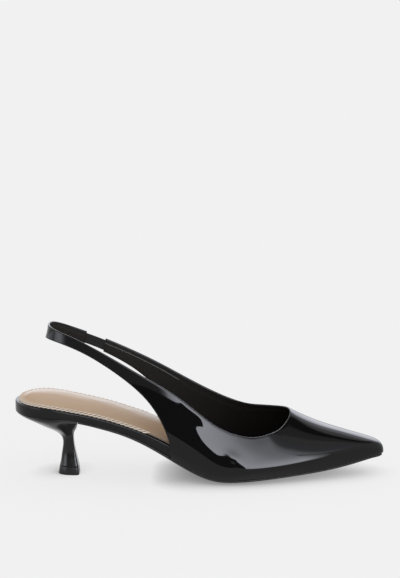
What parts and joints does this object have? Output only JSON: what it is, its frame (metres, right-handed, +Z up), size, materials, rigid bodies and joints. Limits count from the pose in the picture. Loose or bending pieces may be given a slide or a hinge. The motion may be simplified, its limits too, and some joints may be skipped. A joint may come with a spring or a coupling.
{
  "type": "slingback kitten heel shoe",
  "caption": "Pointed slingback shoe in black patent leather with a closed toe, open back, low flared kitten heel and padded tan sock; the right shoe of a pair.",
  "frame": {"origin": "middle of the footprint's box, on the floor", "axes": "+X from the heel to the toe tip, +Y to the inner (medial) side of the foot, +Z up from the floor"},
  "size_m": [0.262, 0.0748, 0.11],
  "materials": {
    "outsole_rubber": "matt black",
    "edge_cover": "satin black",
    "sock_leather": "smooth tan, soft sheen",
    "heel_cover": "glossy black",
    "top_piece_rubber": "satin black",
    "patent_leather": "black patent, mirror gloss",
    "elastic_webbing": "matt black ribbed webbing"
  },
  "bodies": {
    "root": {"outsole": "outsole_rubber", "footbed": "edge_cover", "sock": "sock_leather", "heel": "heel_cover", "top_piece": "top_piece_rubber", "upper": "patent_leather", "elastic": "elastic_webbing"}
  },
  "joints": []
}
